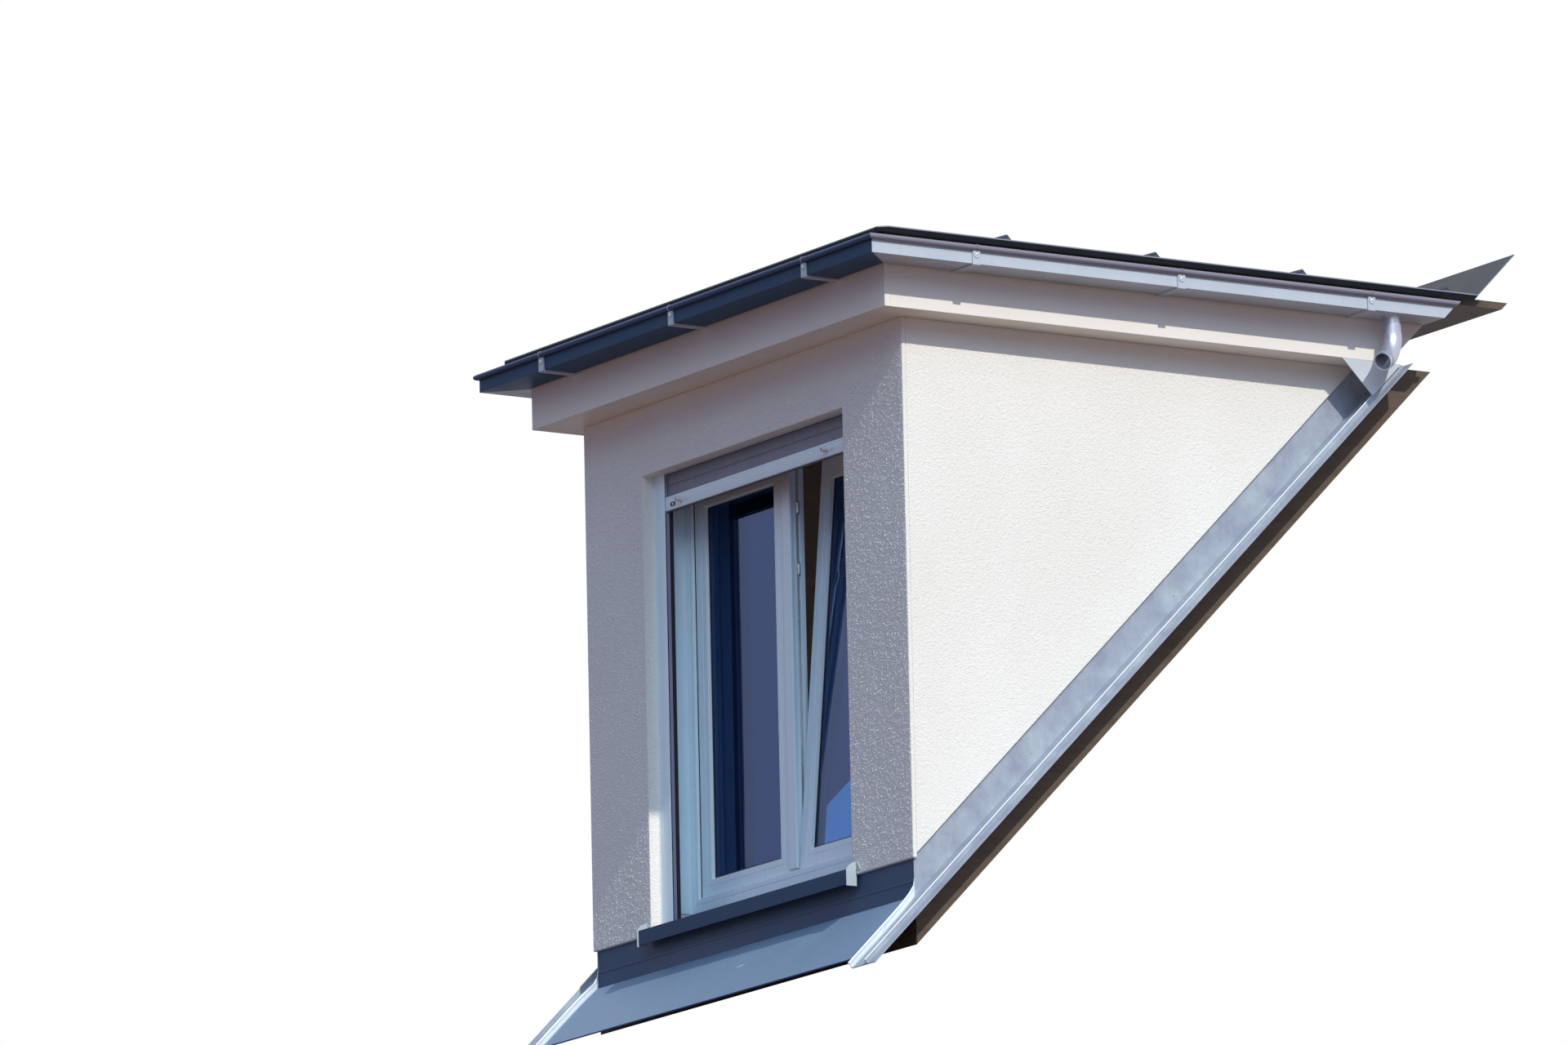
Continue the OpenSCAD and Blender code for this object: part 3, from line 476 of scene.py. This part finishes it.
def grains(count, seed):
    rng = random.Random(seed)
    verts, faces = [], []
    while len(faces) < 5 * count:
        x, z = rng.uniform(-GRAIN_X, GRAIN_X), rng.uniform(GRAIN_Z0, GRAIN_Z1)
        if abs(x) < OPEN_X + GRAIN_CLEAR and z < OPEN_TOP + GRAIN_CLEAR:
            continue
        wide, tall, high = rng.uniform(2, 4.2), rng.uniform(2.4, 5.5), rng.uniform(0.7, 1.9)
        turn = rng.uniform(0, math.pi / 2)
        first = len(verts)
        for i in range(4):
            angle = turn + math.pi / 2 * i
            verts.append(at(x + wide * math.cos(angle), GRAIN_ROOT, z + tall * math.sin(angle)))
        verts.append(at(x + rng.uniform(-0.5, 0.5) * wide, -high, z + rng.uniform(-0.5, 0.5) * tall))
        faces += [(first + i, first + (i + 1) % 4, first + 4) for i in range(4)]
        faces.append((first + 3, first + 2, first + 1, first))
    mesh = bpy.data.meshes.new("render_grains")
    mesh.from_pydata(verts, [], faces)
    dress("render_grains", mesh, "render", corner=20)


grains(17000, seed=11)


# Window frame: mitred members with a shallow groove and a rebate behind the lip
bm = bmesh.new()
ring(bm, (-LIP_X, LIP_Z0, LIP_X, LIP_Z1), (
    (0, 166), (0.8, 163.2), (3, REVEAL), (20, REVEAL), (20.6, FRAME_GROOVE), (22.4, FRAME_GROOVE),
    (23, REVEAL), (FAR, REVEAL), (FAR, FRAME_BACK), (REBATE, FRAME_BACK), (REBATE, LIP_BACK), (1, LIP_BACK),
    (0, LIP_BACK - 1),
), (60, LIP_Z0 - FRAME_FOOT, 60, OPEN_TOP - LIP_Z1))
for side in (-1, 1):
    a, b = sorted((side * OPEN_X, side * (OPEN_X - 3)))
    slab(bm, a, b, 90, REVEAL, 80, OPEN_TOP)
piece("frame_members", bm, "window_plastic", "window_frame", width=0.6)

# Black sealing lip that the closed sash presses on
bm = bmesh.new()
ring(bm, (-LIP_X, LIP_Z0, LIP_X, LIP_Z1), (
    (-1.5, 174.5), (0, 173.5), (3, LIP_BACK), (0, LIP_BACK + 0.3), (-1.5, 176),
))
piece("frame_seal", bm, "stop_rubber", finish="gasket")

# The right sash mirrors the left one and is tilted inwards about its foot
hinge = at(0, SASH_BACK + 7, LIP_Z0 - LAP + 5)
TILTED = Matrix.Translation(hinge) @ Matrix.Rotation(-TILT, 4, "X") @ Matrix.Translation(-hinge)
LEAN = TILTED @ Matrix.Scale(-1, 4, (1, 0, 0))


def sash(name, node, glass, end, move):
    """Sash members, their seals, the two panes and the spacer between them."""
    sight = STILE + BEAD
    rect = (-SASH_X + LAP + sight, LIP_Z0 + RAIL_FOOT + BEAD, end - sight, LIP_Z1 - sight)
    bm = bmesh.new()
    ring(bm, rect, (
        (0, GLASS_Y), (1.2, 188), (4.2, 179.5), (5, 178), (7, SASH_Y), (26, SASH_Y), (26.6, SASH_GROOVE),
        (28.4, SASH_GROOVE), (29, SASH_Y), (FAR, SASH_Y), (FAR, SASH_BACK), (2, SASH_BACK), (0, SASH_BACK - 2),
        (0, GLASS_Y + GLASS_T), (GLASS_IN, GLASS_Y + GLASS_T), (GLASS_IN, GLASS_Y),
    ), (sight + LAP, RAIL_FOOT + BEAD + LAP, sight, sight + LAP))
    piece(name + "_members", bm, "window_plastic", node, width=0.4, move=move)
    for label, y0 in (("outer", GLASS_Y - SEAL), ("inner", GLASS_Y + GLASS_T)):
        bm = bmesh.new()
        y1 = y0 + SEAL
        ring(bm, rect, ((-3.5, y0 + 1.2), (-3, y0 + 0.2), (-2, y0), (0, y0), (0, y1), (-3.5, y1)))
        piece(f"{name}_{label}_seal", bm, "stop_rubber", finish="gasket", move=move)
    bm = bmesh.new()
    y0, y1 = GLASS_Y + 4.2, GLASS_Y + 19.8
    ring(bm, rect, ((-4, y0), (-4, y1), (6, y1), (6, y0)))
    piece(name + "_spacer", bm, "hardware", move=move, width=0.8, finish="spacer")
    x0, z0, x1, z1 = rect
    for label, y0 in (("outer", GLASS_Y), ("inner", GLASS_Y + GLASS_T - PANE)):
        bm = bmesh.new()
        slab(bm, x0 - PANE_IN, x1 + PANE_IN, y0 + 0.05, y0 + PANE, z0 - PANE_IN, z1 + PANE_IN)
        piece(f"{name}_{label}_pane", bm, "glass", *((glass,) if label == "outer" else ()), move=move)


sash("left_sash", "sash_left", "glass_left", LEFT_END, Matrix())
sash("right_sash", "sash_right", "glass_right", -RIGHT_END, LEAN)

# Meeting post: covering strip with rounded edges, and the body with its groove
bm = bmesh.new()
prism(bm, (
    (-26, SASH_Y), (-26, 171.3), (-24.6, 169), (-22, 167.8), (-18, 167.4), (1, 167.3), (20, 167.4),
    (24, 167.8), (26.6, 169), (28, 171.3), (28, SASH_Y),
), along_z, LIP_Z0 + 9, LIP_Z1 - 9)
prism(bm, (
    (LEFT_END, SASH_Y + 0.1), (22, SASH_Y + 0.1), (22, 187), (20.8, 187.8), (20.8, 189), (22, 189.8),
    (22, 198.3), (12, 198.3), (12, 212.8), (22, 212.8), (22, 220.8), (12, 220.8), (12, SASH_BACK),
    (LEFT_END, SASH_BACK),
), along_z, LIP_Z0 - LAP, LIP_Z1 + LAP)
piece("post_members", bm, "window_plastic", "meeting_post", width=0.5)
bm = bmesh.new()
slab(bm, 12.1, 14.4, 200, 211.4, LIP_Z0, LIP_Z1)
for z in (300, 1131, 1340):
    slab(bm, 14.4, 20.6, 200.8, 211, z, z + 46)
    slab(bm, 20.6, 24.5, 204, 208.4, z + 6, z + 40)
piece("post_strikers", bm, "hardware", width=0.6)

# Shutter guides: a lipped slot, the brush in it and black plates beside the brush, painted shade of the gap and
# the slot
for side, label in ((-1, "left"), (1, "right")):
    inner, outer, deep = (side * (OPEN_X - d) for d in (GUIDE_W, 0, 20))
    wall = inner + side * 2
    bm = bmesh.new()
    prism(bm, (
        (outer, GUIDE_Y), (inner + side * 2.5, GUIDE_Y), (inner + side * 0.6, GUIDE_Y + 0.7),
        (inner, GUIDE_Y + 2.2), (inner, 48.2), (wall, 48.2), (wall, 56), (deep, 56), (deep, 69), (wall, 69),
        (wall, GUIDE_BACK), (outer, GUIDE_BACK),
    ), along_z, GUIDE_FOOT, OPEN_TOP)
    piece(f"guide_{label}", bm, "window_plastic", *(("shutter_guides",) if side < 0 else ()), width=0.3)
    # Black plates on the guide's inner side: painted shade of the gap behind the lip and of the slot
    a, b = sorted((inner + side * 1.2, wall - side * 0.05))
    bm = bmesh.new()
    slab(bm, a, b, 48.3, 52.3, GUIDE_FOOT, OPEN_TOP - 1)
    slab(bm, a, b, 64.7, 69, GUIDE_FOOT, BAR_Z - 6)
    slab(bm, a, b, 69.1, GUIDE_BACK - 0.2, GUIDE_FOOT, OPEN_TOP - 1)
    piece(f"guide_painted_shade_{label}", bm, "stop_rubber", finish="gasket")
    a, b = sorted((inner + side * 0.4, inner + side * 6))
    bm = bmesh.new()
    slab(bm, a, b, 52.5, 64.5, GUIDE_FOOT + 1, BAR_Z - 6)
    piece(f"guide_brush_{label}", bm, "stop_rubber", finish="brush", width=0.5)

# Curtain of curved slats, each hooked into the next
outline = []
for i in range(SLAT_ROWS):
    z = BAR_TOP + SLAT * i
    outline += [(CURTAIN_Y + 2, z), (CURTAIN_Y + 2, z + 1.6), (CURTAIN_Y + 0.6, z + 2.4)]
    outline += [(CURTAIN_Y + 0.6 * (1 - math.sin(math.pi * k / 8)), z + 4 + 34 * k / 8) for k in range(1, 8)]
    outline += [(CURTAIN_Y + 0.6, z + 38.6), (CURTAIN_Y + 1.4, z + 39.6)]
outline += [(CURTAIN_Y + CURTAIN_T, BAR_TOP + SLAT * SLAT_ROWS), (CURTAIN_Y + CURTAIN_T, BAR_TOP)]
bm = bmesh.new()
prism(bm, outline, along_x, -CURTAIN_X, CURTAIN_X)
piece("curtain_slats", bm, "slats", "shutter_curtain", corner=40)

# Bottom bar with end tongues, rubber lip, stops and lock
bm = bmesh.new()
front = GUIDE_Y + 4
prism(bm, (
    (front + 2.2, BAR_Z), (CURTAIN_Y + CURTAIN_T, BAR_Z), (CURTAIN_Y + CURTAIN_T, BAR_TOP),
    (front + 1.6, BAR_TOP), (front + 0.4, BAR_TOP - 0.6), (front, BAR_TOP - 2), (front, 1482),
    (front + 0.9, 1481.2), (front + 0.9, 1479.8), (front, 1479), (front, BAR_Z + 2.4), (front + 0.7, BAR_Z + 0.7),
), along_x, -OPEN_X + GUIDE_W + 1, OPEN_X - GUIDE_W - 1)
slab(bm, -CURTAIN_X, CURTAIN_X, CURTAIN_Y, CURTAIN_Y + CURTAIN_T, BAR_Z + 1, BAR_TOP - 1)
piece("bar_profile", bm, "window_plastic", "shutter_bottom_bar", width=0.3)
bm = bmesh.new()
prism(bm, (
    (55, BAR_Z + 1), (55, BAR_Z - 2.5), (57, BAR_Z - 4.5), (60, BAR_Z - 4.5), (62, BAR_Z - 2.5),
    (62, BAR_Z + 1),
), along_x, -555, 555)
piece("bar_lip", bm, "stop_rubber", finish="gasket")
bm = bmesh.new()
# holes: black discs in the stops' tips and a black oval round the lock, painted shade of holes
holes = bmesh.new()
for side in (-1, 1):
    lathe(bm, at(side * STOP_X, front, STOP_Z), FORWARDS, (
        (10.5, 0), (10.5, 1.6), (8.8, 3), (8, 21), (7, 24.6), (5.6, 26), (3.6, 26), (3.2, 25),
    ))
    lathe(holes, at(side * STOP_X, front - 25.2, STOP_Z), FORWARDS, ((3.4, 0), (3.3, 0.7)), 16)
oval = arc(LOCK_X + 9, LOCK_Z, LOCK_R, -90, 90, 10) + arc(LOCK_X - 9, LOCK_Z, LOCK_R, 90, 270, 10)
prism(holes, oval, along_y, front - 0.5, front + 0.4)
lathe(bm, at(LOCK_X, front - 0.5, LOCK_Z), FORWARDS, ((4.6, 0), (4.6, 0.8), (3.6, 1.4)), 16)
piece("bar_stops", bm, "stop_rubber", "shutter_stops")
piece("bar_holes", holes, "stop_rubber", finish="gasket")


# Gutter brackets: strap, narrow ring over the bead, rounded tab and rivet
BRACKETS_SIDE, BRACKETS_FRONT = (141, 950, 1712), (-830, 0, 830)


def side_place(side):
    return lambda u, v, w: at(side * (EAVE_X + u), w, GUTTER_Z + v)


def front_place(u, v, w):
    return at(w, EAVE_Y - u, GUTTER_Z + v)


straps, rings, rivets = bmesh.new(), bmesh.new(), bmesh.new()
spots = [(side_place(side), y, (side, 0, 0)) for side in (-1, 1) for y in BRACKETS_SIDE]
spots += [(front_place, x, FORWARDS) for x in BRACKETS_FRONT]
for place, mid, outwards in spots:
    low, high = mid - STRAP_W / 2, mid + STRAP_W / 2
    outer, top, upper = GUTTER_X1 + STRAP_T, BEAD_Z - BEAD_R - 1, DECK_Z - GUTTER_Z
    prism(straps, (
        (0, -STRAP_T), (outer - 2, -STRAP_T), (outer, -STRAP_T + 2), (outer, top), (GUTTER_X1, top),
        (GUTTER_X1, 0), (STRAP_T, 0), (STRAP_T, upper), (0, upper),
    ), place, low, high)
    tab = [(low + 3, 42), (low + 3, 30)] + arc(mid, 30, 12, 180, 360, 10)[1:] + [(high - 3, 42)]
    prism(rings, tab, lambda u, v, w, place=place: place(w, v, u), outer, outer + 2)
    loop = arc(BEAD_X, BEAD_Z, BEAD_R + 2, -60, 190, 20) + arc(BEAD_X, BEAD_Z, BEAD_R + 0.2, 190, -60, 20)
    prism(rings, loop, place, mid - 2.5, mid + 2.5)
    lathe(rivets, place(outer + 2, 31, mid), outwards, ((3.6, 0), (3.4, 0.8), (2, 1.6), (0.6, 1.8)), 14)
piece("bracket_straps", straps, "gutter", "gutter_brackets", width=0.7)
piece("bracket_rings", rings, "gutter", width=0.3)
piece("bracket_rivets", rivets, "hardware")


# Standing seams: thin web with a folded top and bevelled, closed ends
SEAM_X, DECK_T, SHEET_T, FALL = 1168, 24, 4, math.radians(2.5)


def deck_top(x):
    return DECK_Z + DECK_T + (EAVE_X - abs(x)) * math.tan(FALL) + SHEET_T


bm = bmesh.new()
for y in SEAM_ROWS:
    for w0, w1, b0, b1 in ((-1.2, 1.6, 0, 18), (-3, 3, 17, 25)):
        for side in (-1, 1):
            low, high = (SEAM_X - 30 * b / 25 for b in (b0, b1))
            rows = [(side * low, deck_top(low) + b0), (0, deck_top(0) + b0)]
            rows += [(0, deck_top(0) + b1), (side * high, deck_top(high) + b1)]
            prism(bm, rows, along_y, y + w0, y + w1)
piece("seam_folds", bm, "roof_sheet", "standing_seams", width=0.8)


# Folded joints along the ends of the apron, which sweep up to the wall at their top
FLASH_DROP, FOLD_Y, APRON_Y, TAIL_Y, JOINT_H = 138, 9, -207, -249.2, 26
COS = math.sqrt(0.5)


def joint_edge(y):
    q = max(0, (FOLD_Y - y) / (FOLD_Y - APRON_Y))
    return 985 + 19 * (1 - (1 - min(q, 1)) ** 6)


def joint_point(y, share, lean):
    """Point at a share of the joint's height, over y; lean turns the row square to the slope."""
    high = share * JOINT_H
    y = y - lean * high * COS
    fall = FOLD_Y - y
    sweep = 28 - fall * 21 / 4.5 if fall < 4.5 else max(0, 7 * (18 - fall) / 13.5)
    return joint_edge(y + high * COS), y, y - FLASH_DROP + high / COS + share * sweep


JOINT_STEPS = 40
section = (
    (0.3, 0), (0.3, 0.38), (1.5, 0.42), (1.5, 0.7), (0.3, 0.74), (0.3, 0.9), (1.5, 0.99),
    (3.5, 0.99), (4.7, 0.9), (4.7, 0.74), (3.5, 0.7), (3.5, 0.42), (4.7, 0.38), (4.7, 0),
)
bm = bmesh.new()
for side in (-1, 1):
    rows = []
    for i in range(JOINT_STEPS + 1):
        along = (i / JOINT_STEPS) ** 1.3
        y = FOLD_Y + (TAIL_Y - FOLD_Y) * along
        points = ((joint_point(y, share, along), across) for across, share in section)
        rows.append([bm.verts.new(at(side * (x + across), y, z)) for (x, y, z), across in points])
    for low, high in zip(rows, rows[1:]):
        for i in range(len(section)):
            j = (i + 1) % len(section)
            bm.faces.new((low[i], low[j], high[j], high[i]))
    bm.faces.new(rows[0])
    bm.faces.new(rows[-1])
piece("apron_rolls", bm, "zinc", "apron_seams", width=0.3, finish="bright_zinc")


def on_slope(x, along, high):
    """Point over the flashing plane: along the slope and square to it."""
    return at(x, (along - high) * COS, (along + high) * COS - FLASH_DROP)


# Folded edges: rim of the side channels, edge of the apron and top of its upright part
RIM_X, RIM_HIGH, RIM_END = 1098.5, 18.6, 2728
bm = bmesh.new()
for side in (-1, 1):
    rim = arc(side * RIM_X, RIM_HIGH, 2, 0, 315, 7)
    prism(bm, rim, lambda x, high, along: on_slope(x, along, high), TAIL_Y / COS + 0.4, RIM_END)
piece("rim_beads", bm, "zinc", finish="bright_zinc")
bm = bmesh.new()
slab(bm, -984, 984, 7.4, 9.2, -78, -70)
hem = arc(APRON_Y / COS + 2.2, 3.2, 1.8, 0, 315, 7)
prism(bm, hem, lambda along, high, x: on_slope(x, along, high), -1001, 1001)
piece("apron_hems", bm, "apron_sheet", width=0.5)
bm = bmesh.new()
scuff = ((-26, -2), (-16, 1), (-4, 1.5), (8, 5), (24, 8), (12, 1), (2, -3), (-12, -4))
prism(bm, scuff, lambda x, along, high: on_slope(x + 66, along - 120, high), 3.02, 3.2)
piece("apron_scuff", bm, "apron_sheet", finish="closer")


# Floor, sun and sky. Eyes see the floor pale and the sky white, also in metal and through glass;
# the object gets the warm light of a tiled roof from below and blue light from the sky.
FLOOR_LIGHT, SKY_LIGHT = (0.12, 0.043, 0.016), (0.14, 0.215, 0.43)


def seen_directly(tree):
    path = add(tree, "ShaderNodeLightPath").outputs
    clear = math_node(tree, "MAXIMUM", path["Is Glossy Ray"], path["Is Transmission Ray"])
    return math_node(tree, "MAXIMUM", path["Is Camera Ray"], clear)


lowest = CAD_BOX[0].z - 0.002
bm = bmesh.new()
bmesh.ops.create_circle(bm, cap_ends=True, segments=96, radius=40)
mesh = bpy.data.meshes.new("floor")
bm.to_mesh(mesh)
bm.free()
floor = bpy.data.objects.new("floor", mesh)
floor.location.z = lowest
bpy.context.scene.collection.objects.link(floor)
mat, tree, shader = material("floor")
tone = noise(tree, coords(tree), 1.5, 3)
pale = mix(tree, tone, srgb(214, 212, 208), srgb(220, 218, 214))
shade(tree, shader, mix(tree, seen_directly(tree), FLOOR_LIGHT, pale), 0.8)
facing = add(tree, "ShaderNodeNewGeometry").outputs["Backfacing"]
clear = add(tree, "ShaderNodeBsdfTransparent").outputs[0]
both = add(tree, "ShaderNodeMixShader", {0: facing, 1: shader.outputs[0], 2: clear}).outputs[0]
tree.links.new(both, tree.nodes["Material Output"].inputs["Surface"])
mesh.materials.append(mat)


def sunlight(name, height, turn, energy, spread_angle, tone):
    """Parallel light from a height over the ground and a turn in front of the right side."""
    height, turn = math.radians(height), math.radians(turn)
    towards = Vector((math.cos(height) * math.cos(turn), -math.cos(height) * math.sin(turn), math.sin(height)))
    lamp = bpy.data.objects.new(name, bpy.data.lights.new(name, "SUN"))
    lamp.data.energy = energy
    lamp.data.angle = math.radians(spread_angle)
    lamp.data.color = tone
    lamp.rotation_mode = "QUATERNION"
    lamp.rotation_quaternion = towards.to_track_quat("Z", "Y")
    bpy.context.scene.collection.objects.link(lamp)


sunlight("sun", 38.7, 2, 2.7, 0.8, (1, 0.955, 0.865))
sunlight("glow", 38, 27, 1.25, 50, (0.66, 0.87, 1))

world = bpy.data.worlds.new("sky")
world.use_nodes = True
bpy.context.scene.world = world
tree = world.node_tree
tint = mix(tree, seen_directly(tree), SKY_LIGHT, (1.0, 1.0, 1.0))
tree.links.new(tint, tree.nodes["Background"].inputs["Color"])

bpy.context.scene.view_settings.view_transform = "Standard"
bpy.context.view_layer.update()
